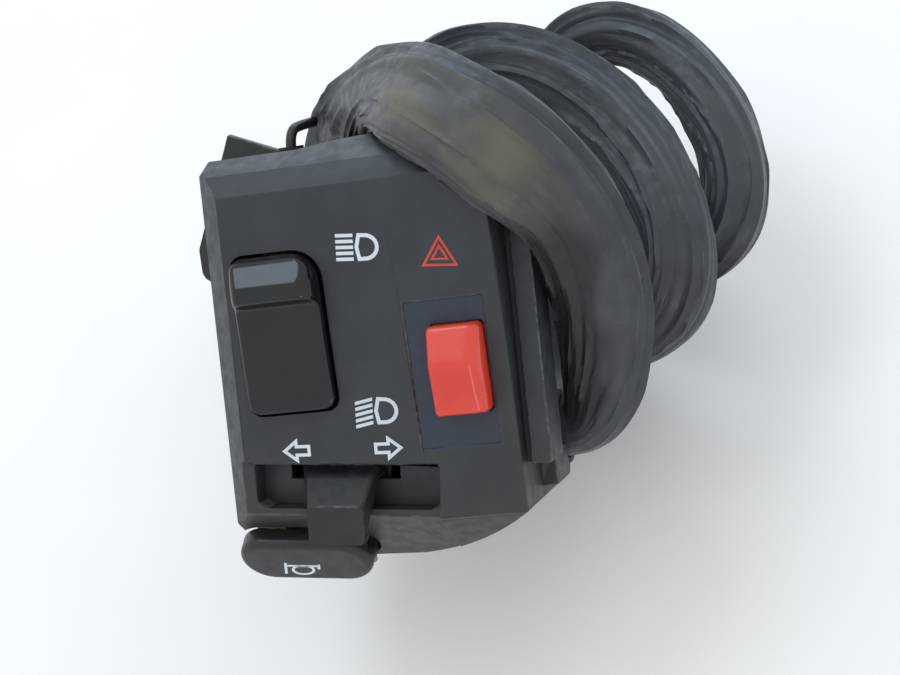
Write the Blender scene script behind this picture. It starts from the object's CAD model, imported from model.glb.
"""Handlebar switch cluster: finishes, printed signs, soft harness sleeve, studio and camera.

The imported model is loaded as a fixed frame. Lengths in the dataclasses are millimetres unless a
name says otherwise, and every mesh is written in metres in the frame of the model: X along the
handlebar, Z up, the switch face tilted back by 45 degrees. On that face x runs along the bar, v up
the face and w out of it.
"""
from __future__ import annotations

import logging
import math
from dataclasses import dataclass, field
from enum import Enum

import bmesh
import bpy
from mathutils import Matrix, Vector, noise
from mathutils.bvhtree import BVHTree


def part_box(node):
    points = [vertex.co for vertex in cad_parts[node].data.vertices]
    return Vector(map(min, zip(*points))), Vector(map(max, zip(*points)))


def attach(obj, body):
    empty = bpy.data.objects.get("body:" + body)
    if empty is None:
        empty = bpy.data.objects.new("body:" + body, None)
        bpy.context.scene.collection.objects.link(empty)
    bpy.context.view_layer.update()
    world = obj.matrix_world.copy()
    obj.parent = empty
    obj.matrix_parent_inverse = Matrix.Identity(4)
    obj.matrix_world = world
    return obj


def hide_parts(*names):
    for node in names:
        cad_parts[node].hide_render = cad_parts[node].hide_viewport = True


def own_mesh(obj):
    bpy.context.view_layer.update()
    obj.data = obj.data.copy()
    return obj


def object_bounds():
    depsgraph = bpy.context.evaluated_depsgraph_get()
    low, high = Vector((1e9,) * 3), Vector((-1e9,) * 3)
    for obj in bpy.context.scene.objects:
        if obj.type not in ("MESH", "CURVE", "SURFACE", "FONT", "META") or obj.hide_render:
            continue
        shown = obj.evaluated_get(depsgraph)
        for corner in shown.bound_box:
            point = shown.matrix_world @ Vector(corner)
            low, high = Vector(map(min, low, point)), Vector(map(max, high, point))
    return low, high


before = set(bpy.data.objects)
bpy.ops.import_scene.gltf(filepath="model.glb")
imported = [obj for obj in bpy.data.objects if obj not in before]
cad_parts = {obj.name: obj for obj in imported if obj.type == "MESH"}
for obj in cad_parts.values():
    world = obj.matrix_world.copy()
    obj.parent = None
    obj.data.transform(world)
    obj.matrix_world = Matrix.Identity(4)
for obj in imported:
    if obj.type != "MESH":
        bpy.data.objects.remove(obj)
cad_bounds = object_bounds()

LOG = logging.getLogger("switch_cluster")
MILLI = 0.001
SLANT = math.sqrt(0.5)
IMAGE_WIDTH = 900
IMAGE_HEIGHT = 675
VIEW_BACK = (0.29077, -0.59859, 0.74642)
FACE_OUT = (0.0, -SLANT, SLANT)
MERGE = 2e-6
COAT_ROUGHNESS = 0.08
SUBSURFACE_SCALE = 0.0015

Triple = tuple[float, float, float]
Tone = tuple[int, int, int]
Span = tuple[float, float, float, float]
Socket = bpy.types.NodeSocket


class Slot(Enum):
    """Material slots of the record."""

    HOUSING = "housing"
    CAP = "cap"
    WARNING = "warning_button"
    LEVER = "lever"
    NYLON = "nylon"
    STEEL = "steel"
    SPRING = "spring_steel"
    CONTACT = "contact"
    BOOT = "boot"
    SLEEVE = "sleeve"
    WIRE = "wire"


class Body(Enum):
    """Bodies of the model that a piece can ride on."""

    BASE = "base"
    DIMMER = "dimmer"
    HAZARD = "hazard"
    SLIDER = "slider"
    KNOB = "knob"
    HORN = "horn"
    TRIGGER = "trigger"


def on_face(x: float, v: float, w: float) -> Vector:
    """Point of the switch face's frame, in the model's frame.

    Args:
        x: Millimetres along the handlebar.
        v: Millimetres up the face.
        w: Millimetres out of the face.

    Returns:
        The point in metres.
    """
    return Vector((x, (v - w) * SLANT, (v + w) * SLANT)) * MILLI


def millimetres(x: float, y: float, z: float) -> Vector:
    """Point given in millimetres in the model's frame, in metres."""
    return Vector((x, y, z)) * MILLI


def linear(tone: Tone) -> tuple[float, float, float, float]:
    """Scene-linear colour of a display colour.

    Args:
        tone: Red, green and blue from 0 to 255.

    Returns:
        Linear red, green, blue and an alpha of 1.
    """
    parts = [part / 255 for part in tone]
    flat = [part / 12.92 if part <= 0.04045 else ((part + 0.055) / 1.055) ** 2.4 for part in parts]
    return flat[0], flat[1], flat[2], 1.0


def eased(share: float) -> float:
    """Smooth step of a share from 0 to 1."""
    share = min(max(share, 0.0), 1.0)
    return share * share * (3 - 2 * share)


# ----------------------------------------------------------------------------------- materials


class Graph:
    """Node tree of one material, with short ways to add and join its nodes."""

    def __init__(self, name: str) -> None:
        """Makes an empty material with a surface shader and its output.

        Args:
            name: Name of the material.
        """
        self.material = bpy.data.materials.new(name)
        self.material.use_nodes = True
        self.tree = self.material.node_tree
        self.tree.nodes.clear()
        self.shader = self.tree.nodes.new("ShaderNodeBsdfPrincipled")
        output = self.tree.nodes.new("ShaderNodeOutputMaterial")
        self.join(self.shader.outputs["BSDF"], output.inputs["Surface"])
        self.place = self.tree.nodes.new("ShaderNodeTexCoord").outputs["Object"]

    def join(self, source: Socket, target: Socket) -> None:
        """Links an output to an input."""
        self.tree.links.new(source, target)

    def put(self, target: Socket, value: object) -> None:
        """Links a socket to a target, or sets a plain value on it.

        Args:
            target: The input.
            value: A socket or a plain value.
        """
        if isinstance(value, Socket):
            self.join(value, target)
        else:
            target.default_value = value

    def noise(self, size: float, detail: float = 3.0, stretch: object = None) -> Socket:
        """Soft noise.

        Args:
            size: Size of its features in millimetres.
            detail: Number of finer layers.
            stretch: Coordinates to use in place of the object's own.

        Returns:
            The factor from 0 to 1.
        """
        node = self.tree.nodes.new("ShaderNodeTexNoise")
        node.inputs["Scale"].default_value = 1 / (size * MILLI)
        node.inputs["Detail"].default_value = detail
        self.join(stretch or self.place, node.inputs["Vector"])
        return node.outputs["Fac"]

    def math(self, kind: str, first: object, second: object = 0.0) -> Socket:
        """Result of a Math node on one or two values.

        Args:
            kind: Name of the operation.
            first: Its first value.
            second: Its second value.

        Returns:
            The result.
        """
        node = self.tree.nodes.new("ShaderNodeMath")
        node.operation = kind
        self.put(node.inputs[0], first)
        self.put(node.inputs[1], second)
        return node.outputs[0]

    def ramp(
        self, value: object, low: float, high: float, to_low: float = 0.0, to_high: float = 1.0
    ) -> Socket:
        """Smoothly remapped value.

        Args:
            value: The socket or number to remap.
            low: Input that gives to_low.
            high: Input that gives to_high.
            to_low: Output at low.
            to_high: Output at high.

        Returns:
            The remapped value.
        """
        node = self.tree.nodes.new("ShaderNodeMapRange")
        node.interpolation_type = "SMOOTHSTEP"
        names = ("Value", "From Min", "From Max", "To Min", "To Max")
        for name, item in zip(names, (value, low, high, to_low, to_high)):
            self.put(node.inputs[name], item)
        return node.outputs["Result"]

    def blend(self, share: object, first: object, second: object) -> Socket:
        """Mix of two colours by a share.

        Args:
            share: Share of the second colour.
            first: Colour at 0.
            second: Colour at 1.

        Returns:
            The colour.
        """
        node = self.tree.nodes.new("ShaderNodeMix")
        node.data_type = "RGBA"
        self.put(node.inputs[0], share)
        self.put(node.inputs[6], first)
        self.put(node.inputs[7], second)
        return node.outputs[2]

    def attribute(self, name: str) -> Socket:
        """Factor of a piece's own attribute, 0 where it has none.

        Args:
            name: Name of the attribute.

        Returns:
            The factor.
        """
        node = self.tree.nodes.new("ShaderNodeAttribute")
        node.attribute_name = name
        return node.outputs["Fac"]

    def along(self, direction: Triple) -> Socket:
        """Distance of a surface point along a direction, in metres.

        Args:
            direction: Unit vector.

        Returns:
            The distance.
        """
        node = self.tree.nodes.new("ShaderNodeVectorMath")
        node.operation = "DOT_PRODUCT"
        self.join(self.place, node.inputs[0])
        node.inputs[1].default_value = direction
        return node.outputs["Value"]

    def raise_by(self, height: object, depth: float) -> Socket:
        """Normal of a surface with a relief.

        Args:
            height: Relief from 0 to 1.
            depth: Depth of the relief in millimetres.

        Returns:
            The normal.
        """
        node = self.tree.nodes.new("ShaderNodeBump")
        node.inputs["Strength"].default_value = 1.0
        node.inputs["Distance"].default_value = depth * MILLI
        self.put(node.inputs["Height"], height)
        return node.outputs["Normal"]


@dataclass(frozen=True)
class Finish:
    """Surface of one kind of part: its tones, gloss, grain and worn edges."""

    name: str
    slot: Slot
    tone: Tone
    second_tone: Tone
    patch: float = 11.0
    roughness: float = 0.45
    rough_spread: float = 0.12
    grain: float = 0.32
    grain_depth: float = 0.03
    worn_tone: Tone = (120, 124, 128)
    worn_share: float = 0.35
    speck_tone: Tone = (120, 118, 108)
    speck_share: float = 0.06
    metallic: float = 0.0
    coat: float = 0.0
    sheen: float = 0.0
    specular: float = 0.5
    subsurface: float = 0.0

    def base(self, graph: Graph) -> Socket:
        """Colour with soft patches, specks and worn edges.

        Args:
            graph: The material's nodes.

        Returns:
            The colour.
        """
        patches = graph.ramp(graph.noise(self.patch, 4.0), 0.35, 0.68)
        colour = graph.blend(patches, linear(self.tone), linear(self.second_tone))
        specks = graph.ramp(graph.noise(0.55, 2.0), 0.68, 0.76, 0.0, self.speck_share)
        colour = graph.blend(specks, colour, linear(self.speck_tone))
        rub = graph.ramp(graph.noise(1.7, 4.0), 0.4, 0.66, 0.0, self.worn_share)
        worn = graph.math("MULTIPLY", rub, graph.attribute("wear"))
        return graph.blend(worn, colour, linear(self.worn_tone))

    def height(self, graph: Graph) -> Socket:
        """Relief of the grain.

        Args:
            graph: The material's nodes.

        Returns:
            The relief.
        """
        fine = graph.noise(self.grain, 2.0)
        broad = graph.noise(self.grain * 7, 3.0)
        return graph.math("ADD", graph.math("MULTIPLY", fine, 0.6), graph.math("MULTIPLY", broad, 0.3))

    def make(self) -> bpy.types.Material:
        """Builds the material.

        Returns:
            The material.
        """
        graph = Graph(self.name)
        shader = graph.shader
        graph.join(self.base(graph), shader.inputs["Base Color"])
        low, high = self.roughness - self.rough_spread / 2, self.roughness + self.rough_spread
        rough = graph.ramp(graph.noise(2.6, 5.0), 0.3, 0.7, max(low, 0.02), high)
        graph.join(rough, shader.inputs["Roughness"])
        graph.join(graph.raise_by(self.height(graph), self.grain_depth), shader.inputs["Normal"])
        values = {
            "Metallic": self.metallic, "Coat Weight": self.coat, "Coat Roughness": COAT_ROUGHNESS,
            "Sheen Weight": self.sheen, "Specular IOR Level": self.specular,
            "Subsurface Weight": self.subsurface, "Subsurface Scale": SUBSURFACE_SCALE,
        }
        for name, value in values.items():
            shader.inputs[name].default_value = value
        return graph.material


@dataclass(frozen=True)
class HousingFinish(Finish):
    """Moulded shell: grained plastic with a crease down the face and a sunk, bluer panel."""

    panel_tone: Tone = (38, 50, 68)
    panel_share: float = 0.75
    brown_tone: Tone = (48, 46, 40)
    crease_x: float = 7.4
    crease_lean: float = 0.028
    crease_top: float = 10.8
    face_w: float = 31.4
    gate_low: float = 0.4
    gate_high: float = 0.2
    panel_soft: float = 0.12
    brown_share: float = 0.5
    crease_run: float = 7.0
    crease_before: float = 0.25
    crease_after: float = 0.05
    crease_height: float = 6.0
    panel_left: float = 8.3
    panel_right: float = 23.5
    panel_top: float = -6.0
    panel_bottom: float = -34.5

    def sides(self, graph: Graph) -> tuple[Socket, Socket, Socket]:
        """Distances along the face, up it and out of it."""
        return graph.along((1, 0, 0)), graph.along((0, SLANT, SLANT)), graph.along((0, -SLANT, SLANT))

    def on_top(self, graph: Graph, w: Socket) -> Socket:
        """1 on the switch face and 0 under it."""
        return graph.ramp(w, (self.face_w - self.gate_low) * MILLI, (self.face_w - self.gate_high) * MILLI)

    def on_panel(self, graph: Graph) -> Socket:
        """1 on the panel round the warning button and 0 elsewhere.

        Args:
            graph: The material's nodes.

        Returns:
            A factor with soft edges.
        """
        x, v, w = self.sides(graph)
        soft = self.panel_soft * MILLI
        inside = self.on_top(graph, w)
        limits = (
            (x, self.panel_left, 1), (x, self.panel_right, -1),
            (v, self.panel_bottom, 1), (v, self.panel_top, -1),
        )
        for side, edge, sign in limits:
            edge *= MILLI
            gate = graph.ramp(side, edge - soft, edge + soft, 0.5 - sign / 2, 0.5 + sign / 2)
            inside = graph.math("MULTIPLY", inside, gate)
        return inside

    def base(self, graph: Graph) -> Socket:
        """Shell's colour, browner low on the face and bluer on the panel.

        Args:
            graph: The material's nodes.

        Returns:
            The colour.
        """
        colour = super().base(graph)
        _, v, _ = self.sides(graph)
        low = graph.ramp(v, -0.02, -0.045, 0.0, self.brown_share)
        patches = graph.ramp(graph.noise(16.0, 3.0), 0.3, 0.7)
        colour = graph.blend(graph.math("MULTIPLY", low, patches), colour, linear(self.brown_tone))
        cover = graph.math("MULTIPLY", self.on_panel(graph), self.panel_share)
        return graph.blend(cover, colour, linear(self.panel_tone))

    def height(self, graph: Graph) -> Socket:
        """Grain with the crease's step added.

        Args:
            graph: The material's nodes.

        Returns:
            The relief.
        """
        x, v, w = self.sides(graph)
        lean = graph.math("MULTIPLY", v, -self.crease_lean)
        at = graph.math("SUBTRACT", x, lean)
        start, end = self.crease_x - self.crease_before, self.crease_x + self.crease_after
        step = graph.ramp(at, start * MILLI, end * MILLI)
        gate = graph.ramp(v, self.crease_top * MILLI, (self.crease_top - self.crease_run) * MILLI)
        step = graph.math("MULTIPLY", graph.math("MULTIPLY", step, gate), self.on_top(graph, w))
        return graph.math("ADD", super().height(graph), graph.math("MULTIPLY", step, -self.crease_height))


@dataclass(frozen=True)
class SleeveFinish(Finish):
    """Soft vinyl sleeve: streaks and long creases along it, olive dust, bluer in its folds."""

    dust_tone: Tone = (112, 110, 88)
    fold_tone: Tone = (26, 44, 66)
    dark_tone: Tone = (15, 18, 24)

    def streaks(self, graph: Graph, size: float, pull: float) -> Socket:
        """Noise drawn out along the sleeve.

        Args:
            graph: The material's nodes.
            size: Size of a streak across the sleeve, in millimetres.
            pull: How many times longer than wide a streak is.

        Returns:
            The factor from 0 to 1.
        """
        spot = graph.tree.nodes.new("ShaderNodeUVMap")
        spot.uv_map = "length_round"
        scale = graph.tree.nodes.new("ShaderNodeMapping")
        scale.inputs["Scale"].default_value = (1 / pull, 1.0, 1.0)
        graph.join(spot.outputs["UV"], scale.inputs["Vector"])
        return graph.noise(size, 4.0, scale.outputs["Vector"])

    def base(self, graph: Graph) -> Socket:
        """Vinyl's colour with streaks, dust and bluish folds.

        Args:
            graph: The material's nodes.

        Returns:
            The colour.
        """
        colour = super().base(graph)
        lines = graph.ramp(self.streaks(graph, 6.0, 9.0), 0.45, 0.7, 0.0, 0.25)
        colour = graph.blend(lines, colour, linear(self.second_tone))
        cover = graph.ramp(self.streaks(graph, 5.0, 3.0), 0.25, 0.7)
        dust = graph.math("MULTIPLY", graph.attribute("dust"), cover)
        colour = graph.blend(dust, colour, linear(self.dust_tone))
        colour = graph.blend(graph.attribute("fold"), colour, linear(self.fold_tone))
        return graph.blend(graph.attribute("inner"), colour, linear(self.dark_tone))

    def height(self, graph: Graph) -> Socket:
        """Grain with fine creases along the sleeve.

        Args:
            graph: The material's nodes.

        Returns:
            The relief.
        """
        ridge = graph.math("ABSOLUTE", graph.math("SUBTRACT", self.streaks(graph, 6.5, 7.0), 0.5))
        crease = graph.ramp(ridge, 0.0, 0.06, 1.0, 0.0)
        return graph.math("ADD", super().height(graph), graph.math("MULTIPLY", crease, 1.3))


HOUSING = HousingFinish("housing_plastic", Slot.HOUSING, (40, 44, 49), (46, 50, 54), roughness=0.42,
                        worn_tone=(96, 104, 112), worn_share=0.5)
CAP = Finish("glossy_cap", Slot.CAP, (13, 15, 19), (17, 19, 23), roughness=0.1, rough_spread=0.06,
             grain=1.4, grain_depth=0.006, worn_tone=(70, 82, 96), worn_share=0.3, speck_share=0.02)
WARNING = Finish("warning_red", Slot.WARNING, (222, 66, 44), (212, 52, 42), roughness=0.2, rough_spread=0.08,
                 grain=0.9, grain_depth=0.01, worn_tone=(240, 120, 96), worn_share=0.4, coat=0.3,
                 subsurface=0.08, speck_tone=(150, 60, 50))
LEVER = Finish("satin_lever", Slot.LEVER, (28, 29, 29), (36, 36, 34), roughness=0.36, grain=0.4,
               worn_tone=(104, 102, 92), worn_share=0.6, speck_share=0.1)
NYLON = Finish("nylon_base", Slot.NYLON, (196, 190, 172), (182, 174, 154), roughness=0.5, worn_share=0.1)
DARK_NYLON = Finish("dark_nylon", Slot.NYLON, (28, 29, 31), (38, 39, 40), roughness=0.5, worn_share=0.1)
STEEL = Finish("zinc_steel", Slot.STEEL, (150, 150, 146), (120, 118, 112), roughness=0.32, metallic=1.0,
               grain=0.5, grain_depth=0.012, worn_tone=(190, 188, 182))
SPRING = Finish("spring_wire", Slot.SPRING, (120, 122, 126), (96, 98, 104), roughness=0.28, metallic=1.0,
                grain=0.3, grain_depth=0.006, worn_tone=(180, 182, 186))
CONTACT = Finish("brass_contact", Slot.CONTACT, (184, 138, 78), (150, 108, 62), roughness=0.3, metallic=1.0,
                 grain=0.4, grain_depth=0.006, worn_tone=(214, 178, 120))
BOOT = Finish("rubber_boot", Slot.BOOT, (26, 27, 29), (36, 37, 38), roughness=0.62, grain=0.5,
              grain_depth=0.06, worn_tone=(84, 84, 80))
SLEEVE = SleeveFinish("vinyl_sleeve", Slot.SLEEVE, (46, 50, 55), (58, 61, 64), roughness=0.44,
                      rough_spread=0.14, patch=14.0, grain=0.7, grain_depth=0.05, speck_tone=(150, 148, 136),
                      speck_share=0.25, sheen=0.1)
WIRE = Finish("wire_cover", Slot.WIRE, (30, 30, 32), (40, 40, 42), roughness=0.36, grain=0.6,
              grain_depth=0.02)
PLUG = Finish("plug_nylon", Slot.NYLON, (206, 202, 188), (192, 186, 168), roughness=0.46,
              worn_tone=(226, 224, 214))
PRINT = Finish("white_print", Slot.CAP, (214, 221, 228), (200, 208, 216), roughness=0.5, speck_share=0.2,
               speck_tone=(140, 146, 150), grain_depth=0.008)
RED_PRINT = Finish("red_print", Slot.WARNING, (214, 74, 56), (200, 64, 50), roughness=0.5, grain_depth=0.008)

FINISHES = (
    HOUSING, CAP, WARNING, LEVER, NYLON, DARK_NYLON, STEEL, SPRING, CONTACT, BOOT, SLEEVE, WIRE, PLUG, PRINT,
    RED_PRINT,
)


class Paint:
    """Every finish as a material, made once."""

    def __init__(self) -> None:
        """Builds the materials of all finishes."""
        self.made = {finish.name: finish.make() for finish in FINISHES}

    def of(self, finish: Finish) -> bpy.types.Material:
        """Material of a finish."""
        return self.made[finish.name]


# -------------------------------------------------------------------------------------- meshes


def settle(shape: bmesh.types.BMesh, name: str, sharp: float = 35.0) -> bpy.types.Mesh:
    """Finished mesh of a shape.

    Args:
        shape: The shape, which is freed.
        name: Name of the mesh.
        sharp: Angle in degrees above which an edge stays hard.

    Returns:
        The mesh, shaded smooth apart from its hard edges.
    """
    mesh = bpy.data.meshes.new(name)
    shape.to_mesh(mesh)
    shape.free()
    mesh.shade_smooth()
    mesh.set_sharp_from_angle(angle=math.radians(sharp))
    return mesh


def put_in_scene(item: bpy.types.Object) -> None:
    """Puts an object in the scene."""
    bpy.context.scene.collection.objects.link(item)


def baked(holder: bpy.types.Object) -> bpy.types.Mesh:
    """Plain mesh of what an object's curve or modifiers make.

    Args:
        holder: The object, which is removed.

    Returns:
        The mesh.
    """
    bpy.context.view_layer.update()
    mesh = bpy.data.meshes.new_from_object(holder.evaluated_get(bpy.context.evaluated_depsgraph_get()))
    bpy.data.objects.remove(holder)
    return mesh


def merged(node: str) -> bmesh.types.BMesh:
    """Copy of a rigid node with its doubled vertices joined.

    Args:
        node: Name of the node.

    Returns:
        The shape.
    """
    shape = bmesh.new()
    shape.from_mesh(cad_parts[node].data)
    bmesh.ops.remove_doubles(shape, verts=shape.verts, dist=MERGE)
    return shape


def close(shape: bmesh.types.BMesh, rows: list[list[bmesh.types.BMVert]]) -> None:
    """Closes both ends of a tube and turns its faces outwards.

    Args:
        shape: The tube.
        rows: Its rings of vertices.
    """
    shape.faces.new(list(reversed(rows[0])))
    shape.faces.new(rows[-1])
    bmesh.ops.recalc_face_normals(shape, faces=shape.faces)


def add_piece(name: str, mesh: bpy.types.Mesh, body: Body, finish: Finish, paint: Paint) -> bpy.types.Object:
    """Puts a mesh in the scene as a piece of the object.

    Args:
        name: Name of the piece.
        mesh: Its mesh, in place.
        body: The body that it rides on.
        finish: Its finish.
        paint: The finishes' materials.

    Returns:
        The object.
    """
    piece = bpy.data.objects.new(name, mesh)
    put_in_scene(piece)
    if not mesh.materials:
        mesh.materials.append(paint.of(finish))
    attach(piece, body.value)
    LOG.info("%s: %d faces on %s", name, len(mesh.polygons), body.value)
    return piece


def bridge(shape: bmesh.types.BMesh, near: list, far: list, closed: bool = True) -> list[bmesh.types.BMFace]:
    """Faces between two rows of vertices.

    Args:
        shape: The shape that gets the faces.
        near: Vertices of one row.
        far: As many vertices of the next row.
        closed: Whether the rows are rings.

    Returns:
        The new faces, in the order of the rows.
    """
    count = len(near) if closed else len(near) - 1
    return [
        shape.faces.new((near[k], near[(k + 1) % len(near)], far[(k + 1) % len(near)], far[k]))
        for k in range(count)
    ]


def weigh(piece: bpy.types.Object) -> None:
    """Turns the shading of large flat faces flat beside their rounded edges.

    Args:
        piece: The piece.
    """
    weighted = piece.modifiers.new("flat_faces", "WEIGHTED_NORMAL")
    weighted.keep_sharp = True
    weighted.weight = 80


@dataclass
class Moulding:
    """A merged copy of a rigid node with its outer edges rounded, which stands for the node."""

    node: str
    body: Body
    finish: Finish
    edge: float = 0.35
    flat_angle: float = 0.6
    least_angle: float = 28.0
    least_edge: float = 0.9
    steps: int = 3

    def shape(self) -> bmesh.types.BMesh:
        """Merged copy of the node with rounded outer edges.

        Returns:
            The shape, whose rounded faces carry the wear attribute.
        """
        shape = merged(self.node)
        flat = math.radians(self.flat_angle)
        bmesh.ops.dissolve_limit(shape, angle_limit=flat, verts=shape.verts, edges=shape.edges)
        wear = shape.faces.layers.float.new("wear")
        rims = [edge for edge in shape.edges if self.rounds(edge)]
        if rims and self.edge > 0:
            cut = bmesh.ops.bevel(
                shape, geom=rims, offset=self.edge * MILLI, offset_type="OFFSET", segments=self.steps,
                profile=0.5, affect="EDGES", clamp_overlap=False, miter_outer="ARC",
            )
            for face in cut["faces"]:
                face[wear] = 1.0
        return shape

    def rounds(self, edge: bmesh.types.BMEdge) -> bool:
        """Whether an edge is an outer one that the mould rounds.

        Args:
            edge: The edge.

        Returns:
            True for a convex edge that is sharp and long enough.
        """
        if len(edge.link_faces) != 2 or not edge.is_convex:
            return False
        turned = edge.calc_face_angle(0) > math.radians(self.least_angle)
        return turned and edge.calc_length() > self.least_edge * MILLI

    def build(self, paint: Paint) -> bpy.types.Object:
        """Builds the piece.

        Args:
            paint: The finishes' materials.

        Returns:
            The object.
        """
        mesh = settle(self.shape(), self.node)
        piece = add_piece(f"{self.node}_moulded", mesh, self.body, self.finish, paint)
        weigh(piece)
        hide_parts(self.node)
        return piece


@dataclass
class PressedCap:
    """Cap of a rocker or button: a rounded outline with a height profile and rolled edges."""

    node: str
    name: str
    body: Body
    finish: Finish
    centre: tuple[float, float]
    width: float
    length: float
    # distance below the upper end, height above the face
    profile: tuple[tuple[float, float], ...]
    corner: float = 2.4
    wide_corner: float = 2.4
    rim: float = 1.2
    left_roll: tuple[float, float] = (0.9, 0.45)
    right_roll: tuple[float, float] = (1.1, 0.75)
    end_roll: float = 1.0
    soften: float = 0.35
    soft_steps: int = 4
    low_height: float = 2.2
    bottom: float = 29.8
    core_gap: float = 0.05
    face: float = 32.0
    columns: int = 56
    rows: int = 150

    def half_at(self, v: float, side: int) -> float:
        """Half width of the outline on one side at a place along it.

        Args:
            v: Place along, from the centre.
            side: 1 for the right side, -1 for the left.

        Returns:
            The half width in millimetres.
        """
        radius = self.wide_corner if side > 0 and v > 0 else self.corner
        over = abs(v) - (self.length / 2 - radius)
        if over <= 0:
            return self.width / 2
        return self.width / 2 - radius + math.sqrt(max(radius**2 - over**2, 0.0))

    def raw_height(self, v: float) -> float:
        """Height above the face on the plain profile.

        Args:
            v: Place along, from the centre.

        Returns:
            The height in millimetres.
        """
        down = max(0.0, min(self.length, self.length / 2 - v))
        for low, high in zip(self.profile, self.profile[1:]):
            if down <= high[0]:
                return low[1] + (high[1] - low[1]) * (down - low[0]) / (high[0] - low[0])
        return self.profile[-1][1]

    def height(self, v: float) -> float:
        """Height above the face with the profile's corners softened."""
        steps = range(-self.soft_steps, self.soft_steps + 1)
        return sum(self.raw_height(v + self.soften * step / self.soft_steps) for step in steps) / len(steps)

    def top(self, x: float, v: float) -> float:
        """Height of the cap's surface above the face.

        Args:
            x: Place across, from the centre.
            v: Place along.

        Returns:
            The height in millimetres.
        """
        side = 1 if x > 0 else -1
        full = self.height(v)
        base, gain = self.right_roll if side > 0 else self.left_roll
        reach = base + gain * max(full - self.low_height, 0.0)
        gap = self.half_at(v, side) - abs(x)
        end = self.length / 2 - abs(v)
        share = 1.0
        for distance, span in ((gap, reach), (end, self.end_roll)):
            part = max(0.0, min(1.0, distance / span))
            share *= math.sqrt(1 - (1 - part) ** 2)
        return self.rim + (full - self.rim) * share

    def spread(self, number: int, count: int) -> float:
        """Share from -1 to 1, closer together near its ends."""
        return math.sin(math.pi / 2 * (2 * number / count - 1))

    def shape(self) -> bmesh.types.BMesh:
        """Closed mesh of the cap.

        Returns:
            The shape.
        """
        shape = bmesh.new()
        grid, under = [], []
        for j in range(self.rows + 1):
            v = self.spread(j, self.rows) * self.length / 2
            row = []
            for i in range(self.columns + 1):
                share = self.spread(i, self.columns)
                x = share * self.half_at(v, 1 if share > 0 else -1)
                up = self.face + self.top(x, v)
                row.append(shape.verts.new(on_face(self.centre[0] + x, self.centre[1] + v, up)))
            grid.append(row)
        rim = [*grid[0], *[row[-1] for row in grid[1:]], *reversed(grid[-1][:-1])]
        rim += [row[0] for row in reversed(grid[1:-1])]
        lean = Vector(FACE_OUT)
        for vertex in rim:
            drop = vertex.co.dot(lean) - self.bottom * MILLI
            under.append(shape.verts.new(vertex.co - lean * drop))
        for near, far in zip(grid, grid[1:]):
            bridge(shape, near, far, closed=False)
        bridge(shape, under, rim)
        shape.faces.new(list(reversed(under)))
        bmesh.ops.recalc_face_normals(shape, faces=shape.faces)
        return shape

    def build(self, paint: Paint) -> None:
        """Builds the cap, and the lower part of the node as its core.

        Args:
            paint: The finishes' materials.
        """
        mesh = settle(self.shape(), f"{self.name}_cap", 60)
        cap = add_piece(f"{self.name}_cap", mesh, self.body, self.finish, paint)
        under = merged(self.node)
        cut = bmesh.ops.bisect_plane(
            under, geom=[*under.verts, *under.edges, *under.faces],
            plane_co=on_face(0, 0, self.bottom - self.core_gap), plane_no=FACE_OUT, clear_outer=True,
        )
        rims = [item for item in cut["geom_cut"] if isinstance(item, bmesh.types.BMEdge)]
        bmesh.ops.holes_fill(under, edges=rims)
        core = add_piece(f"{self.name}_core", settle(under, f"{self.name}_core"), self.body, NYLON, paint)
        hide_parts(self.node)
        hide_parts(self.node)


ROCKER = PressedCap(
    "dimmer_rocker", "rocker", Body.DIMMER, CAP, (-16.1, -9.4), 17.5, 30.2,
    ((0.0, 1.3), (0.5, 2.2), (1.3, 2.9), (4.9, 5.1), (5.8, 5.45), (8.0, 5.5), (8.6, 5.1), (9.0, 4.2),
     (9.4, 3.3), (10.0, 2.85), (12.0, 2.65), (20.0, 2.3), (27.5, 1.95), (30.2, 1.8)),
    wide_corner=5.6,
)
BUTTON = PressedCap(
    "hazard_button", "button", Body.HAZARD, WARNING, (17.9, -19.3), 10.3, 16.9,
    ((0.0, 3.2), (7.0, 6.1), (8.2, 5.8), (16.9, 4.4)), corner=1.0, wide_corner=1.3, rim=2.4,
    left_roll=(0.7, 0.05), right_roll=(2.3, 0.1), end_roll=0.7, low_height=3.0, soften=0.6,
    columns=40, rows=80,
)


@dataclass
class Spring:
    """A coil spring that closes up as its joint moves."""

    node: str
    joint: str
    body: Body
    axis: Triple
    travel: float

    def build(self, paint: Paint) -> None:
        """Builds the spring's copy and lets it flatten towards its fixed end.

        Args:
            paint: The finishes' materials.
        """
        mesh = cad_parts[self.node].data.copy()
        mesh.materials.clear()
        piece = add_piece(self.node + "_wound", mesh, self.body, SPRING, paint)
        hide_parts(self.node)
        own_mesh(piece)


HORN_OUT = (-0.0583, -0.9968, 0.0541)
SPRINGS = (
    Spring("hazard_spring", "hazard_press", Body.BASE, (0, -1, 1), 2.55),
    Spring("knob_spring", "turn_cancel", Body.SLIDER, (0, -1, 1), 0.85),
    Spring("horn_spring", "horn_press", Body.BASE, HORN_OUT, 1.6),
)


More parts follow.
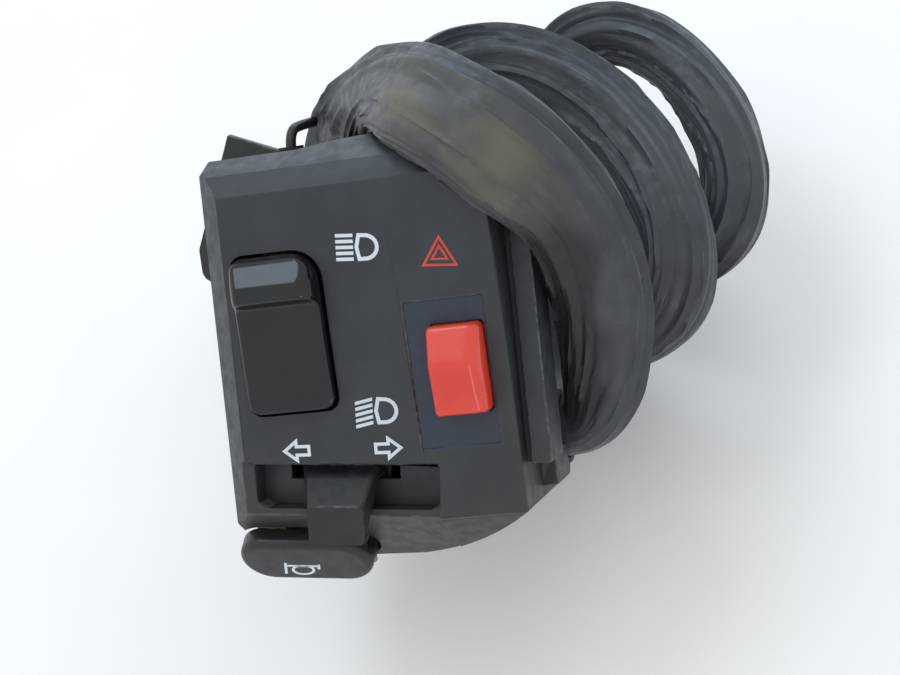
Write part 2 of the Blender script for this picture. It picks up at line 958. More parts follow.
@dataclass
class RigidParts:
    """Rigid nodes: those in view as mouldings, the rest with their finish only."""

    mouldings: tuple[Moulding, ...] = (
        Moulding("rear_housing", Body.BASE, HOUSING, 0.32),
        Moulding("front_housing", Body.BASE, HOUSING, 0.4),
        Moulding("turn_knob", Body.KNOB, LEVER, 0.6),
        Moulding("horn_pad", Body.HORN, LEVER, 0.3),
        Moulding("passing_trigger", Body.TRIGGER, LEVER, 0.4),
        Moulding("harness_boot", Body.BASE, BOOT, 0.25),
        Moulding("lead_grommet", Body.BASE, BOOT, 0.2),
    )
    plain: dict[str, Finish] = field(default_factory=lambda: {
        "clamp_screws": STEEL, "dimmer_base": NYLON, "dimmer_pin": STEEL, "dimmer_plunger": NYLON,
        "dimmer_spring": SPRING, "dimmer_contacts": CONTACT, "hazard_base": NYLON,
        "hazard_contacts": CONTACT, "turn_slider": DARK_NYLON, "turn_base": DARK_NYLON,
        "turn_contacts": CONTACT, "base_screws": STEEL, "horn_pin": STEEL, "horn_base": NYLON,
        "trigger_pin": STEEL, "trigger_spring": SPRING, "passing_plunger": NYLON,
        "passing_switch": NYLON, "plug_terminals": CONTACT,
    })

    def build(self, paint: Paint) -> None:
        """Builds the mouldings and gives the other rigid nodes their finish.

        Args:
            paint: The finishes' materials.
        """
        for moulding in self.mouldings:
            moulding.build(paint)
        for name, finish in self.plain.items():
            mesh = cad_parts[name].data
            mesh.materials.clear()
            mesh.materials.append(paint.of(finish))
            LOG.info("%s: finish %s", name, finish.name)


# --------------------------------------------------------------------------------------- signs


@dataclass
class Sheet:
    """Flat place for a printed sign: its centre and its two directions."""

    centre: Vector
    across: Vector
    up: Vector

    @property
    def out(self) -> Vector:
        """Direction out of the sheet."""
        return self.across.cross(self.up).normalized()

    def at(self, x: float, y: float, lift: float) -> Vector:
        """Point of the sheet given in millimetres from its centre."""
        return self.centre + (self.across * x + self.up * y + self.out * lift) * MILLI


@dataclass
class Sign:
    """A printed sign drawn with lines of one width, as a very thin film on its carrier."""

    name: str
    sheet: Sheet
    lines: list[tuple[list[tuple[float, float]], bool]]
    width: float
    body: Body = Body.BASE
    finish: Finish = PRINT
    film: float = 0.05
    sink: float = 0.06

    def rims(self, points: list[tuple[float, float]], closed: bool) -> list[tuple[Vector, Vector]]:
        """Both edges of a line with mitred corners.

        Args:
            points: Corners of the line's middle, in millimetres.
            closed: Whether its end joins its start.

        Returns:
            Left and right edge points.
        """
        spots = [Vector((x, y)) for x, y in points]
        sides = []
        for number, spot in enumerate(spots):
            before = spots[number - 1] if number or closed else None
            after = spots[(number + 1) % len(spots)] if number + 1 < len(spots) or closed else None
            steps = ((spot - before) if before else None, (after - spot) if after else None)
            ways = [step.normalized() for step in steps if step]
            middle = sum(ways, Vector((0, 0))).normalized()
            normal = Vector((-middle.y, middle.x))
            reach = self.width / 2 / max(normal.dot(Vector((-ways[0].y, ways[0].x))), 0.35)
            sides.append((spot + normal * reach, spot - normal * reach))
        return sides

    def shape(self) -> bmesh.types.BMesh:
        """Closed film of every line.

        Returns:
            The shape.
        """
        shape = bmesh.new()
        for points, closed in self.lines:
            rows = []
            for left, right in self.rims(points, closed):
                corners = [(left, self.film), (right, self.film), (right, -self.sink), (left, -self.sink)]
                rows.append([shape.verts.new(self.sheet.at(spot.x, spot.y, lift)) for spot, lift in corners])
            count = len(rows) if closed else len(rows) - 1
            for number in range(count):
                bridge(shape, rows[number], rows[(number + 1) % len(rows)])
            if not closed:
                shape.faces.new(rows[0])
                shape.faces.new(reversed(rows[-1]))
        bmesh.ops.recalc_face_normals(shape, faces=shape.faces)
        return shape

    def build(self, paint: Paint) -> None:
        """Builds the sign."""
        add_piece(self.name, settle(self.shape(), self.name), self.body, self.finish, paint)


class BarRow:
    """Geometry nodes that lay a row of equal bars, such as the rays of a headlight sign."""

    def __init__(self, material: bpy.types.Material) -> None:
        """Builds the tree.

        Args:
            material: Material of the bars.
        """
        self.tree = bpy.data.node_groups.new("row_of_bars", "GeometryNodeTree")
        self.tree.interface.new_socket("Bars", in_out="OUTPUT", socket_type="NodeSocketGeometry")
        self.sockets = {}
        for name, kind in (("Count", "Int"), ("Step", "Vector"), ("Size", "Vector")):
            socket = self.tree.interface.new_socket(name, in_out="INPUT", socket_type=f"NodeSocket{kind}")
            self.sockets[name] = socket.identifier
        nodes, links = self.tree.nodes, self.tree.links
        source, sink = nodes.new("NodeGroupInput"), nodes.new("NodeGroupOutput")
        line, bar = nodes.new("GeometryNodeMeshLine"), nodes.new("GeometryNodeMeshCube")
        line.mode = "OFFSET"
        copies, plain = nodes.new("GeometryNodeInstanceOnPoints"), nodes.new("GeometryNodeRealizeInstances")
        coat = nodes.new("GeometryNodeSetMaterial")
        coat.inputs["Material"].default_value = material
        for giver, given, taker, taken in (
            (source, "Count", line, "Count"), (source, "Step", line, "Offset"), (source, "Size", bar, "Size"),
            (line, "Mesh", copies, "Points"), (bar, "Mesh", copies, "Instance"),
            (copies, "Instances", plain, "Geometry"), (plain, "Geometry", coat, "Geometry"),
            (coat, "Geometry", sink, "Bars"),
        ):
            links.new(giver.outputs[given], taker.inputs[taken])

    def mesh(self, name: str, count: int, step: Vector, size: Vector, round_by: float) -> bpy.types.Mesh:
        """Plain mesh of a row of bars.

        Args:
            name: Name of the mesh.
            count: Number of bars.
            step: Step from one to the next, in millimetres.
            size: Size of a bar, in millimetres.
            round_by: Rounding of its edges, in millimetres.

        Returns:
            The mesh, with the first bar centred on the origin.
        """
        holder = bpy.data.objects.new(f"{name}_holder", bpy.data.meshes.new(f"{name}_holder"))
        put_in_scene(holder)
        maker = holder.modifiers.new("bars", "NODES")
        maker.node_group = self.tree
        maker[self.sockets["Count"]] = count
        maker[self.sockets["Step"]] = list(step * MILLI)
        maker[self.sockets["Size"]] = list(size * MILLI)
        rounding = holder.modifiers.new("round", "BEVEL")
        rounding.width = round_by * MILLI
        rounding.segments = 2
        mesh = baked(holder)
        mesh.name = name
        return mesh


@dataclass
class Signs:
    """The printed function signs: lamps, arrows, warning triangle and horn."""

    face_w: float = 32.0
    turn: float = -5.0
    lamp_width: float = 0.74
    lamp_high: tuple[float, float] = (1.1, 5.3)
    lamp_low: tuple[float, float] = (0.4, -25.9)
    ray_size: Triple = (3.5, 0.66, 0.12)
    ray_pitch: float = 1.12
    ray_round: float = 0.05
    ray_start: tuple[float, float] = (-2.75, -0.01)
    ray_pivot: float = 1.0
    lens_half: float = 2.25
    lens_start: float = 0.9
    lens_reach: float = 3.7
    lens_power: float = 0.85
    lens_steps: int = 12
    # name, height and line width
    triangles: tuple[tuple[str, float, float], ...] = (("outer", 5.0, 0.46), ("inner", 2.3, 0.42))
    horn_width: float = 0.56
    bell_half: tuple[float, float] = (2.2, 1.5)
    bell_centre: tuple[float, float] = (0.3, -0.45)
    bell_steps: int = 20
    rays: int = 5
    arrow_width: float = 0.62
    arrow_left: tuple[float, float] = (-17.0, -32.2)
    arrow_right: tuple[float, float] = (1.4, -33.2)
    warning: tuple[float, float] = (16.7, 2.3)
    horn_pixel: tuple[float, float] = (302.0, 568.5)
    horn_face: Triple = (-22.045, -56.517, -22.963)
    horn_across: Triple = (0.9962, -0.0616, -0.0616)
    horn_up: Triple = (0.2959, 0.0360, 0.9823)

    def sheet(self, place: tuple[float, float], turn: float) -> Sheet:
        """Place of a sign on the switch face.

        Args:
            place: Its centre on the face.
            turn: Its turn on the face, in degrees.

        Returns:
            The sheet.
        """
        angle = math.radians(turn)
        up_face = Vector((0, SLANT, SLANT))
        along = Vector((1, 0, 0))
        across = along * math.cos(angle) + up_face * math.sin(angle)
        up = up_face * math.cos(angle) - along * math.sin(angle)
        return Sheet(on_face(*place, self.face_w), across, up)

    def lens(self) -> list[tuple[float, float]]:
        """Outline of a headlight, flat on the side of its rays.

        Returns:
            Its corners in millimetres.
        """
        half, start = self.lens_half, self.lens_start
        points = [(0.15, -half), (-0.35, 0.0), (0.15, half)]
        for number in range(1, self.lens_steps):
            angle = math.pi / 2 - math.pi * number / self.lens_steps
            out = (self.lens_reach - start) * math.cos(angle) ** self.lens_power
            points.append((start + out, half * math.sin(angle)))
        return points

    def lamp(self, name: str, place: tuple[float, float], slope: float, bars: BarRow, paint: Paint) -> None:
        """A headlight with its rays.

        Args:
            name: Name of the sign.
            place: Centre of the sign on the face.
            slope: Slope of the rays, in degrees.
            bars: The row of bars.
            paint: The finishes' materials.
        """
        sheet = self.sheet(place, self.turn)
        Sign(f"{name}_lens", sheet, [(self.lens(), True)], self.lamp_width).build(paint)
        pitch = Vector((0, self.ray_pitch, 0))
        rows = bars.mesh(f"{name}_rays", self.rays, pitch, Vector(self.ray_size), self.ray_round)
        left, lift = self.ray_start
        start = Vector((left, -self.ray_pitch * (self.rays - 1) / 2, lift)) * MILLI
        for vertex in rows.vertices:
            spot = vertex.co + start
            spot.y += (spot.x + self.ray_pivot * MILLI) * math.tan(math.radians(slope))
            vertex.co = sheet.at(spot.x / MILLI, spot.y / MILLI, spot.z / MILLI)
        add_piece(f"{name}_rays", rows, Body.BASE, PRINT, paint)

    def arrow(self, name: str, place: tuple[float, float], sign: int, paint: Paint) -> None:
        """An outlined arrow.

        Args:
            name: Name of the sign.
            place: Its centre on the face.
            sign: 1 to point inwards, -1 to point outwards.
            paint: The finishes' materials.
        """
        half = [(2.55, 0.0), (0.1, 1.85), (0.1, 0.82), (-2.45, 0.82)]
        points = half + [(x, -y) for x, y in reversed(half[1:])]
        outline = [(sign * x, y) for x, y in points]
        Sign(name, self.sheet(place, self.turn + 2), [(outline, True)], self.arrow_width).build(paint)

    def triangle(self, high: float) -> list[tuple[float, float]]:
        """Corners of a triangle round its middle."""
        return [(0.0, high * 0.62), (-high * 0.64, -high * 0.42), (high * 0.64, -high * 0.42)]

    def horn(self) -> list[tuple[list[tuple[float, float]], bool]]:
        """Lines of the horn sign: its button, bell and stem.

        Returns:
            Points of each line in millimetres, and whether it is closed.
        """
        turns = [math.tau * k / self.bell_steps for k in range(self.bell_steps)]
        (wide, high), (x, y) = self.bell_half, self.bell_centre
        bell = [(wide * math.cos(turn) + x, high * math.sin(turn) + y) for turn in turns]
        return [
            ([(-3.4, 1.9), (-3.4, -1.9)], False), ([(-3.2, 0.95), (3.6, 0.95)], False), (bell, True),
            ([(3.6, 1.5), (3.6, -0.1)], False),
        ]

    def build(self, paint: Paint) -> None:
        """Builds every sign.

        Args:
            paint: The finishes' materials.
        """
        bars = BarRow(paint.of(PRINT))
        self.lamp("main_beam", self.lamp_high, 0.0, bars, paint)
        self.lamp("dipped_beam", self.lamp_low, 14.0, bars, paint)
        self.arrow("arrow_left", self.arrow_left, -1, paint)
        self.arrow("arrow_right", self.arrow_right, 1, paint)
        warn = self.sheet(self.warning, self.turn)
        for name, high, width in self.triangles:
            lines = [(self.triangle(high), True)]
            Sign(f"warning_{name}", warn, lines, width, finish=RED_PRINT).build(paint)
        across, up = Vector(self.horn_across), Vector(self.horn_up)
        pad = Sheet(millimetres(*self.horn_face), across, up)
        origin, ray = Studio().look(self.horn_pixel)
        reach = (pad.centre - origin).dot(pad.out) / ray.dot(pad.out)
        pad.centre = origin + ray * reach
        Sign("horn_sign", pad, self.horn(), self.horn_width, body=Body.HORN).build(paint)


# ------------------------------------------------------------------------------------- harness


def smooth_line(points: list[Vector]) -> list[Vector]:
    """Points of the smooth spline that has these points as its control points.

    Args:
        points: Control points in metres.

    Returns:
        Points close together on the spline.
    """
    curve = bpy.data.curves.new("route", "CURVE")
    curve.dimensions = "3D"
    curve.resolution_u = 14
    spline = curve.splines.new("NURBS")
    spline.points.add(len(points) - 1)
    for knot, point in zip(spline.points, points):
        knot.co = (*point, 1.0)
    spline.order_u = 3
    spline.use_endpoint_u = True
    holder = bpy.data.objects.new("route", curve)
    put_in_scene(holder)
    mesh = baked(holder)
    line = [vertex.co.copy() for vertex in mesh.vertices]
    bpy.data.meshes.remove(mesh)
    return line


def within(share: float, span: Span) -> float:
    """1 inside a span of a length, with soft ends.

    Args:
        share: Share of the length.
        span: Start, its soft run, end and its soft run.

    Returns:
        A value from 0 to 1.
    """
    start, rise, end, fall = span
    return eased((share - start) / rise) * eased((end - share) / fall)


def even_line(line: list[Vector], count: int) -> tuple[list[Vector], float]:
    """The same line with evenly spaced points.

    Args:
        line: Points of a line.
        count: Number of points wanted.

    Returns:
        The points and the line's length.
    """
    ways = [0.0]
    for before, after in zip(line, line[1:]):
        ways.append(ways[-1] + (after - before).length)
    spots, at = [], 0
    for number in range(count):
        way = ways[-1] * number / (count - 1)
        while at < len(line) - 2 and ways[at + 1] < way:
            at += 1
        gap = ways[at + 1] - ways[at]
        spots.append(line[at].lerp(line[at + 1], (way - ways[at]) / gap if gap else 0.0))
    return spots, ways[-1]


def tube_mesh(name: str, line: list[Vector], radius: float, sides: int = 16) -> bpy.types.Mesh:
    """Closed round tube along a line.

    Args:
        name: Name of the mesh.
        line: Points of its middle.
        radius: Its radius in millimetres.
        sides: Number of sides.

    Returns:
        The mesh.
    """
    shape = bmesh.new()
    rows = []
    turns = [math.tau * k / sides for k in range(sides)]
    side = Vector((0.31, 0.52, 0.8))
    for number, spot in enumerate(line):
        way = (line[min(number + 1, len(line) - 1)] - line[max(number - 1, 0)]).normalized()
        side = (side - way * side.dot(way)).normalized()
        other = way.cross(side)
        rows.append([
            shape.verts.new(spot + (side * math.cos(turn) + other * math.sin(turn)) * radius * MILLI)
            for turn in turns
        ])
    for near, far in zip(rows, rows[1:]):
        bridge(shape, near, far)
    close(shape, rows)
    return settle(shape, name, 60)


def bundle_mesh(name: str, lines: list[list[Vector]], radius: float, sides: int) -> bpy.types.Mesh:
    """One mesh of several round strands.

    Args:
        name: Name of the mesh.
        lines: Middle of each strand.
        radius: Their radius in millimetres.
        sides: Number of sides of each.

    Returns:
        The mesh.
    """
    shape = bmesh.new()
    for line in lines:
        strand = tube_mesh("strand", line, radius, sides)
        shape.from_mesh(strand)
        bpy.data.meshes.remove(strand)
    return settle(shape, name, 60)


@dataclass
class Sleeve:
    """The wound sleeve of the harness: a soft flattened tube, creased along its length."""

    start: Triple = (16.0, -37.3, 0.0)
    mouth: Triple = (28.6, -37.3, 0.0)
    outside: Triple = (33.5, -36.4, 0.9)
    drape: tuple[Triple, ...] = (
        (37, -32, 3.5), (41, -20, 9.5), (42.5, -6, 17), (41, 5.5, 24.5), (36, 14.5, 30),
        (27.5, 23, 32.5), (15.5, 30.5, 25.5), (6.5, 33.5, 11.5), (-3, 33, -3),
    )
    centre: Triple = (10, 16, -21.5)
    chord: Triple = (31.5, -25.5, -13)
    bulge: Triple = (22, 0.5, 24)
    square: Triple = (-1, -7.5, 5.5)
    skew: Triple = (1.5, -6, 0)
    step: Triple = (-3, 16, -3.5)
    growth: Triple = (6.5, 0.5, -0.5)
    shrink: float = 0.053
    first_turn: float = 0.5
    last_turn: float = 2.5
    points_a_turn: int = 14
    tip_run: float = 12.6
    tail: tuple[Triple, ...] = (
        (-8.4, 0, -11.2), (-21.4, 0.8, -18.6), (-35.4, 0.8, -18.6),
    )
    tail_first_run: float = 12.0
    tail_heading: Triple = (-0.3326, -0.3093, -0.8909)
    rings: int = 680
    sides: int = 96
    corner: float = 2.5
    diameter: float = 15.8
    calm_rings: int = 26
    rest_gap: float = 0.25
    rest_on: tuple[str, ...] = ("rear_housing", "front_housing")
    rest_from: float = 0.045
    rest_reach: float = 5.0
    round_length: float = 0.045
    way_reach: int = 2
    # start, its soft run, end and its soft run, as shares of the length
    soft_span: Span = (0.02, 0.03, 0.945, 0.02)
    hollow_span: Span = (0.022, 0.015, 0.118, 0.02)
    dust_at: float = 0.142
    dust_run: float = 0.055
    dust_most: float = 0.7
    dust_side: float = 0.15
    dust_round: float = 1.2
    fold_most: float = 0.7
    fold_gain: float = 0.55
    inner_edge: float = 0.1
    inner_wander: float = 0.3
    inner_waves: float = 60.0
    inner_soft: float = 0.25
    # waves a metre, waves round the sleeve and height in millimetres
    long_crease: Triple = (9.0, 2.3, 1.5)
    ridge_crease: Triple = (12.0, 2.9, 1.0)
    soft_crease: Triple = (38.0, 1.2, 0.5)
    ridge_sharp: float = 5.0
    crease_sink: float = 0.2
    # share of the length, half width, half thickness, tilt in degrees
    section: tuple[Span, ...] = (
        (0.000, 6.1, 6.1, 0), (0.024, 6.15, 6.15, 0), (0.045, 8.2, 5.2, 0), (0.070, 9.2, 4.9, 0),
        (0.100, 9.4, 4.8, 0), (0.130, 10.8, 4.6, 0), (0.160, 10.3, 4.6, 0), (0.200, 8.8, 5.2, 0),
        (0.260, 8.0, 5.4, 10), (0.340, 7.6, 5.4, 20), (0.420, 7.6, 5.6, 10), (0.500, 8.2, 5.4, 0),
        (0.580, 8.0, 5.4, 0), (0.680, 7.2, 5.4, 10), (0.760, 6.8, 5.8, 10), (0.840, 6.8, 5.8, 0),
        (0.905, 6.4, 5.8, 0), (0.935, 4.4, 4.2, 0), (0.950, 3.9, 3.9, 0), (1.000, 3.9, 3.9, 0),
    )

    def turn_point(self, turn: float) -> Vector:
        """Middle of the sleeve at a number of turns, in metres.

        Args:
            turn: Number of turns.

        Returns:
            The point.
        """
        angle = math.tau * turn
        ring = Vector(self.chord) * math.cos(angle) + Vector(self.bulge) * math.sin(angle)
        ring += Vector(self.square) * math.cos(2 * angle) + Vector(self.skew) * math.sin(2 * angle)
        place = Vector(self.centre) + ring * (1 - self.shrink * turn**2)
        return (place + Vector(self.step) * turn + Vector(self.growth) * turn**2) * MILLI

    def route(self) -> list[Vector]:
        """Control points of the sleeve's middle, from inside the housing to the plug's collar.

        Returns:
            The points in metres.
        """
        points = [on_face(*self.start), on_face(*self.mouth), on_face(*self.outside)]
        points += [on_face(*point) for point in self.drape]
        count = round((self.last_turn - self.first_turn) * self.points_a_turn)
        turns = [self.first_turn + number / self.points_a_turn for number in range(count + 1)]
        points += [self.turn_point(turn) for turn in turns]
        heading = Vector(self.tail_heading)
        tip = points[-1] + heading * self.tip_run * MILLI
        bend = tip + heading * self.tail_first_run * MILLI
        points += [tip, bend, *[bend + millimetres(*point) for point in self.tail]]
        return points

    def at(self, share: float) -> Triple:
        """Half width, half thickness and tilt at a share of the length.

        Args:
            share: Share of the length.

        Returns:
            Two measures in millimetres and an angle in degrees.
        """
        for low, high in zip(self.section, self.section[1:]):
            if share <= high[0]:
                part = eased((share - low[0]) / (high[0] - low[0]))
                return tuple(low[k] + (high[k] - low[k]) * part for k in (1, 2, 3))
        return self.section[-1][1:]

    def crease(self, way: float, angle: float) -> float:
        """Height of the creases at a point of the sleeve.

        Args:
            way: Distance along the sleeve, in metres.
            angle: Angle round it.

        Returns:
            The height in millimetres.
        """
        ring = Vector((math.cos(angle), math.sin(angle), 0.0))
        waves, around, long_high = self.long_crease
        long = noise.noise(Vector((way * waves, ring.x * around, ring.y * around + 5)))
        waves, around, ridge_high = self.ridge_crease
        ridge = abs(noise.noise(Vector((way * waves + 3, ring.x * around, ring.y * around))))
        ridge = (1 - min(ridge * self.ridge_sharp, 1)) ** 2
        waves, around, soft_high = self.soft_crease
        soft = noise.noise(Vector((way * waves, ring.x * around + 9, ring.y * around)))
        return long_high * long + ridge_high * ridge + soft_high * soft - self.crease_sink

    def frames(self, line: list[Vector]) -> list[tuple[Vector, Vector]]:
        """Directions of the sleeve's width and depth, whose flat side faces the view.

        Args:
            line: Middle of the sleeve.

        Returns:
            Two unit vectors for each ring, square to the line, which turn without jumps.
        """
        last, reach = len(line) - 1, self.way_reach
        ways = [(line[min(n + reach, last)] - line[max(n - reach, 0)]).normalized() for n in range(last + 1)]
        raw = []
        for way in ways:
            across = way.cross(Vector(VIEW_BACK))
            if raw and across.dot(raw[-1]) < 0:
                across = -across
            raw.append(across)
        frames = []
        for number, way in enumerate(ways):
            near = raw[max(0, number - self.calm_rings): number + self.calm_rings + 1]
            wide = sum(near, Vector((0.0, 0.0, 0.0)))
            for _ in range(2):
                wide = (wide - way * wide.dot(way)).normalized()
            frames.append((wide, way.cross(wide)))
        return frames

    def lie_on(self, rows: list[list[bmesh.types.BMVert]]) -> None:
        """Moves the sleeve's surface out of the housing, so that it lies on it.

        Args:
            rows: Rings of the sleeve's vertices.
        """
        trees = []
        for name in self.rest_on:
            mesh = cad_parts[name].data
            faces = [polygon.vertices for polygon in mesh.polygons]
            trees.append(BVHTree.FromPolygons([vertex.co for vertex in mesh.vertices], faces))
        beyond = [row for number, row in enumerate(rows) if number / self.rings >= self.rest_from]
        for vertex in (vertex for row in beyond for vertex in row):
            for tree in trees:
                hit, normal, _, _ = tree.find_nearest(vertex.co, self.rest_reach * MILLI)
                if hit is None:
                    continue
                depth = self.rest_gap * MILLI - (vertex.co - hit).dot(normal)
                if depth > 0:
                    vertex.co += normal * depth

    def marks(self, share: float, side: float, lift: float, calm: float) -> dict[str, float]:
        """Dust, fold and inner tone at a point of the sleeve.

        Args:
            share: Share of the length.
            side: Cosine of the angle round the sleeve, below 0 on the housing's side.
            lift: Height of the creases.
            calm: 1 where the sleeve is soft, 0 at its round ends.

        Returns:
            Values from 0 to 1 by the name of their attribute.
        """
        near = eased(1 - abs(share - self.dust_at) / self.dust_run)
        wander = noise.noise(Vector((share * self.inner_waves, 2.0, 0.0)))
        edge = self.inner_edge - side - self.inner_wander * wander
        return {
            "dust": near * self.dust_most * eased(self.dust_round - abs(side + self.dust_side)),
            "fold": max(0.0, min(self.fold_most, -lift * self.fold_gain)) * calm,
            "inner": within(share, self.hollow_span) * eased(edge / self.inner_soft),
        }

    def shape(self, line: list[Vector], length: float) -> bmesh.types.BMesh:
        """Closed skin of the sleeve.

        Args:
            line: Its middle.
            length: Its length in metres.

        Returns:
            The shape, with its attributes and its UV map in metres.
        """
        shape = bmesh.new()
        layers = {name: shape.verts.layers.float.new(name) for name in ("dust", "fold", "inner")}
        flat = shape.loops.layers.uv.new("length_round")
        rows = []
        for number, (spot, (wide, deep)) in enumerate(zip(line, self.frames(line))):
            share = number / (self.rings - 1)
            half, thick, tilt = self.at(share)
            lean, rise = math.cos(math.radians(tilt)), math.sin(math.radians(tilt))
            wide, deep = wide * lean + deep * rise, deep * lean - wide * rise
            calm = within(share, self.soft_span)
            power = 2 / (2 + (self.corner - 2) * calm)
            row = []
            for k in range(self.sides):
                turn = math.tau * k / self.sides
                c, s = math.cos(turn), math.sin(turn)
                x = half * math.copysign(abs(c) ** power, c)
                y = thick * math.copysign(abs(s) ** power, s)
                lift = self.crease(share * length, turn) * calm
                reach = math.hypot(x, y)
                vertex = shape.verts.new(spot + (wide * x + deep * y) * ((reach + lift) / reach) * MILLI)
                for name, value in self.marks(share, c, lift, calm).items():
                    vertex[layers[name]] = value
                row.append(vertex)
            rows.append(row)
        self.lie_on(rows)
        for number, (near, far) in enumerate(zip(rows, rows[1:])):
            before, after = (part / (self.rings - 1) * length for part in (number, number + 1))
            for k, face in enumerate(bridge(shape, near, far)):
                spots = ((before, k), (before, k + 1), (after, k + 1), (after, k))
                for loop, (way, step) in zip(face.loops, spots):
                    loop[flat].uv = (way, step / self.sides * self.round_length)
        close(shape, rows)
        return shape

    def build(self, paint: Paint, end_pieces: list[object]) -> None:
        """Args:
            paint: The finishes' materials.
            end_pieces: Pieces on its far end.
        """
        line, length = even_line(smooth_line(self.route()), self.rings)
        mesh = settle(self.shape(line, length), "harness_sleeve", 70)
        piece = add_piece("harness_sleeve", mesh, Body.BASE, SLEEVE, paint)
        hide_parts("sleeve_coil", "sleeve_tail")
        LOG.info("harness_sleeve: %.1f mm long", length / MILLI)


@dataclass
class HarnessEnd:
    """Collar, tie, wires and plug on the harness's far end."""

    wires: int = 6
    wire_radius: float = 0.8
    ring: float = 1.65
    twist: float = 70.0
    swell: float = 0.12
    points: int = 9
    wire_sides: int = 12
    mouth: Triple = (-31.192, 64.354, -61.519)
    reach: float = 8.0

    def build(self, paint: Paint) -> list[object]:
        """Builds the pieces.

        Args:
            paint: The finishes' materials.

        Returns:
            Every piece on the end, and the terminals' node.
        """
        pieces = [
            Moulding("tail_collar", Body.BASE, WIRE, 0.4).build(paint),
            Moulding("cable_tie", Body.BASE, NYLON, 0.25).build(paint),
            Moulding("plug_shell", Body.BASE, PLUG, 0.35).build(paint),
        ]
        lines = []
        for number in range(self.wires):
            line = []
            for step in range(self.points):
                part = step / (self.points - 1)
                angle = math.tau * number / self.wires + math.radians(self.twist) * part
                ring = self.ring * (1 + self.swell * math.sin(math.pi * part))
                offset = millimetres(-self.reach * part, ring * math.cos(angle), ring * math.sin(angle))
                line.append(millimetres(*self.mouth) + offset)
            lines.append(line)
        mesh = bundle_mesh("tail_wire_bundle", lines, self.wire_radius, self.wire_sides)
        bundle = add_piece("tail_wire_bundle", mesh, Body.BASE, WIRE, paint)
        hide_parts("tail_wires")
        return [*pieces, bundle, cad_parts["plug_terminals"]]


@dataclass
class InnerWiring:
    """Loom inside the housing and the short clutch lead on its back."""

    loom: tuple[Triple, ...] = (
        (16.0, -37.3, 0.0), (9, -37.3, 0), (0, -35, 5), (-7, -30.5, 9.5), (-12, -24, 10.5),
    )
    strands: int = 7
    strand_radius: float = 0.85
    ring: float = 1.7
    lead_points: tuple[Triple, ...] = (
        (-26, 29, -12), (-24.5, 30, -18), (-23, 30.3, -23.5),
    )
    lead_radius: float = 1.1
    points: int = 40
    twist: float = 0.04
    strand_sides: int = 10
    lead_steps: int = 30
    lead_sides: int = 20

    def build(self, paint: Paint) -> None:
        """Builds the loom's strands and the clutch lead.

        Args:
            paint: The finishes' materials.
        """
        middle, _ = even_line(smooth_line([on_face(*point) for point in self.loom]), self.points)
        lines = []
        side = Vector((0.2, 0.6, 0.77))
        for number in range(self.strands):
            line = []
            for step, spot in enumerate(middle):
                way = (middle[min(step + 1, self.points - 1)] - middle[max(step - 1, 0)]).normalized()
                side = (side - way * side.dot(way)).normalized()
                angle = math.tau * number / (self.strands - 1) + step * self.twist
                reach = self.ring * MILLI if number else 0.0
                line.append(spot + (side * math.cos(angle) + way.cross(side) * math.sin(angle)) * reach)
            lines.append(line)
        mesh = bundle_mesh("loom_strands", lines, self.strand_radius, self.strand_sides)
        loom = add_piece("loom_strands", mesh, Body.BASE, WIRE, paint)
        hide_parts("inner_wires")
        grommet_low, grommet_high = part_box("lead_grommet")
        start = (grommet_low + grommet_high) / 2
        route = [start, *[on_face(*point) for point in self.lead_points]]
        middle, _ = even_line(smooth_line(route), self.lead_steps)
        lead = tube_mesh("clutch_lead_cover", middle, self.lead_radius, self.lead_sides)
        cover = add_piece("clutch_lead_cover", lead, Body.BASE, WIRE, paint)
        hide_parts("clutch_lead")


# -------------------------------------------------------------------------------------- studio


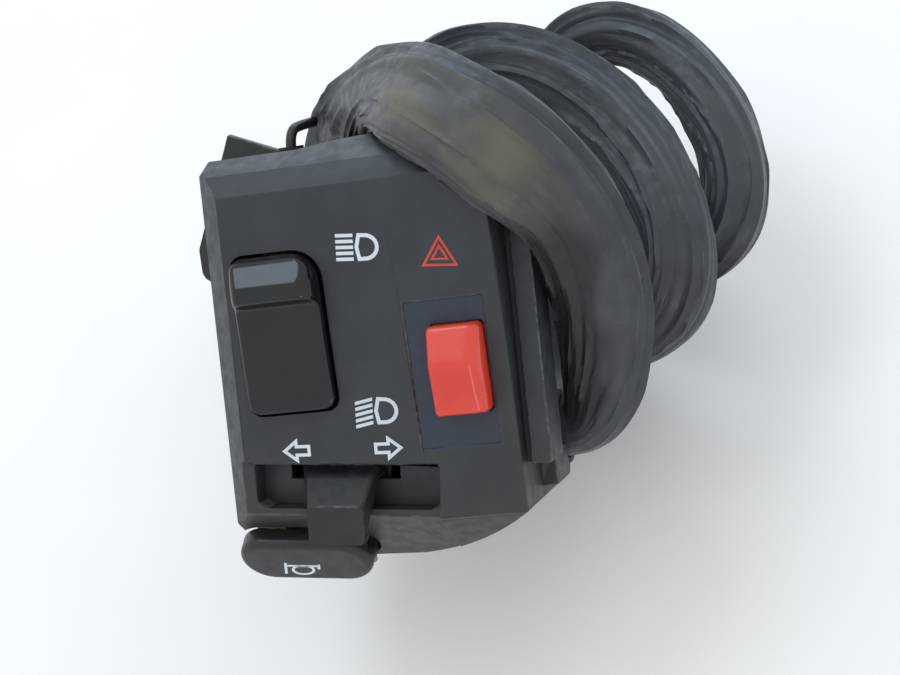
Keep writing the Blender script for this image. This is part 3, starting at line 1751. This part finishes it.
@dataclass
class Studio:
    """Camera, pale floor and soft window light."""

    eye: Triple = (0.124843, -0.255130, 0.291137)
    right: Triple = (0.95155, 0.09941, -0.29100)
    up: Triple = (0.10000, 0.79487, 0.59849)
    floor_gap: float = 0.0004
    lens: float = 80.0
    sensor: float = 36.0
    clip: tuple[float, float] = (0.01, 50.0)
    floor_half: float = 6.0
    floor_tones: tuple[Tone, Tone] = ((252, 250, 246), (249, 247, 243))
    floor_roughness: float = 0.8
    floor_specular: float = 0.1
    # colour and strength of what lights the object, and of what is seen or mirrored
    light: tuple[Span, float] = ((0.97, 0.985, 1.0, 1.0), 0.88)
    seen: tuple[Span, float] = ((0.90, 0.915, 0.925, 1.0), 1.0)
    # name, place, size, watts and colour
    lamps: tuple[tuple[str, Triple, tuple[float, float], float, Triple], ...] = (
        ("window", (0.1, 0.95, 0.4), (1.3, 0.35), 3.6, (0.5, 0.72, 1.0)),
        ("skylight", (-0.27, 0.17, 0.87), (0.5, 0.3), 1.6, (0.66, 0.82, 1.0)),
        ("front_strip", (0.32, -0.82, 0.18), (0.08, 0.25), 0.45, (0.85, 0.92, 1.0)),
    )

    def look(self, pixel: tuple[float, float]) -> tuple[Vector, Vector]:
        """Line of sight through a pixel.

        Args:
            pixel: Column and row.

        Returns:
            The eye and the direction.
        """
        scale = self.sensor / self.lens / IMAGE_WIDTH
        across = (pixel[0] - IMAGE_WIDTH / 2) * scale
        rise = (IMAGE_HEIGHT / 2 - pixel[1]) * scale
        return Vector(self.eye), Vector(self.right) * across + Vector(self.up) * rise - Vector(VIEW_BACK)

    def camera(self) -> None:
        """Makes the camera at the photograph's angle."""
        data = bpy.data.cameras.new("camera")
        data.lens = self.lens
        data.sensor_width = self.sensor
        data.clip_start, data.clip_end = self.clip
        camera = bpy.data.objects.new("camera", data)
        turn = Matrix((self.right, self.up, VIEW_BACK)).transposed().to_4x4()
        camera.matrix_world = Matrix.Translation(self.eye) @ turn
        put_in_scene(camera)
        bpy.context.scene.camera = camera

    def lamp(self, name: str, place: Triple, size: tuple[float, float], watts: float, tint: Triple) -> None:
        """Adds a soft rectangular lamp that points at the object.

        Args:
            name: Name of the lamp.
            place: Its place in metres.
            size: Its width and height in metres.
            watts: Its power.
            tint: Its colour.
        """
        data = bpy.data.lights.new(name, "AREA")
        data.shape = "RECTANGLE"
        data.size, data.size_y = size
        data.energy = watts
        data.color = tint
        lamp = bpy.data.objects.new(name, data)
        lamp.location = place
        lamp.rotation_euler = (-Vector(place)).to_track_quat("-Z", "Y").to_euler()
        lamp.visible_camera = False
        put_in_scene(lamp)

    def world(self) -> None:
        """Even pale surroundings, white where seen directly or mirrored."""
        world = bpy.data.worlds.new("surroundings")
        bpy.context.scene.world = world
        world.use_nodes = True
        tree = world.node_tree
        tree.nodes.clear()
        output, mix = tree.nodes.new("ShaderNodeOutputWorld"), tree.nodes.new("ShaderNodeMixShader")
        light, seen = tree.nodes.new("ShaderNodeBackground"), tree.nodes.new("ShaderNodeBackground")
        for node, (colour, strength) in ((light, self.light), (seen, self.seen)):
            node.inputs["Color"].default_value = colour
            node.inputs["Strength"].default_value = strength
        rays = tree.nodes.new("ShaderNodeLightPath")
        first, second = tree.nodes.new("ShaderNodeMath"), tree.nodes.new("ShaderNodeMath")
        for node in (first, second):
            node.operation = "MAXIMUM"
        for giver, given, taker, taken in (
            (rays, "Is Camera Ray", first, 0), (rays, "Is Glossy Ray", first, 1), (first, 0, second, 0),
            (rays, "Is Transmission Ray", second, 1), (second, 0, mix, "Fac"), (light, "Background", mix, 1),
            (seen, "Background", mix, 2), (mix, "Shader", output, "Surface"),
        ):
            tree.links.new(giver.outputs[given], taker.inputs[taken])

    def floor(self) -> None:
        """Pale floor just under the object's lowest point."""
        height = cad_bounds[0][2] - self.floor_gap
        half = self.floor_half
        shape = bmesh.new()
        corners = [(-half, -half), (half, -half), (half, half), (-half, half)]
        shape.faces.new([shape.verts.new((x, y, height)) for x, y in corners])
        mesh = bpy.data.meshes.new("floor")
        shape.to_mesh(mesh)
        shape.free()
        graph = Graph("pale_floor")
        patches = graph.ramp(graph.noise(70.0, 3.0), 0.3, 0.7)
        colour = graph.blend(patches, *[linear(tone) for tone in self.floor_tones])
        graph.join(colour, graph.shader.inputs["Base Color"])
        graph.shader.inputs["Roughness"].default_value = self.floor_roughness
        graph.shader.inputs["Specular IOR Level"].default_value = self.floor_specular
        mesh.materials.append(graph.material)
        floor = bpy.data.objects.new("floor", mesh)
        put_in_scene(floor)

    def build(self) -> None:
        """Sets up the camera, lamps, world and floor."""
        bpy.context.scene.view_settings.view_transform = "Standard"
        self.camera()
        for lamp in self.lamps:
            self.lamp(*lamp)
        self.world()
        self.floor()
        LOG.info("studio ready")


def plain(box: tuple) -> list[list[float]]:
    """A box as plain lists of numbers."""
    return [[float(part) for part in corner] for corner in box]


def main() -> None:
    """Builds the scene piece by piece."""
    logging.basicConfig(level=logging.INFO, format="%(name)s %(message)s")
    Studio().build()
    paint = Paint()
    end_pieces = HarnessEnd().build(paint)
    Sleeve().build(paint, end_pieces)
    InnerWiring().build(paint)
    RigidParts().build(paint)
    for spring in SPRINGS:
        spring.build(paint)
    ROCKER.build(paint)
    BUTTON.build(paint)
    Signs().build(paint)


if __name__ == "__main__":
    main()
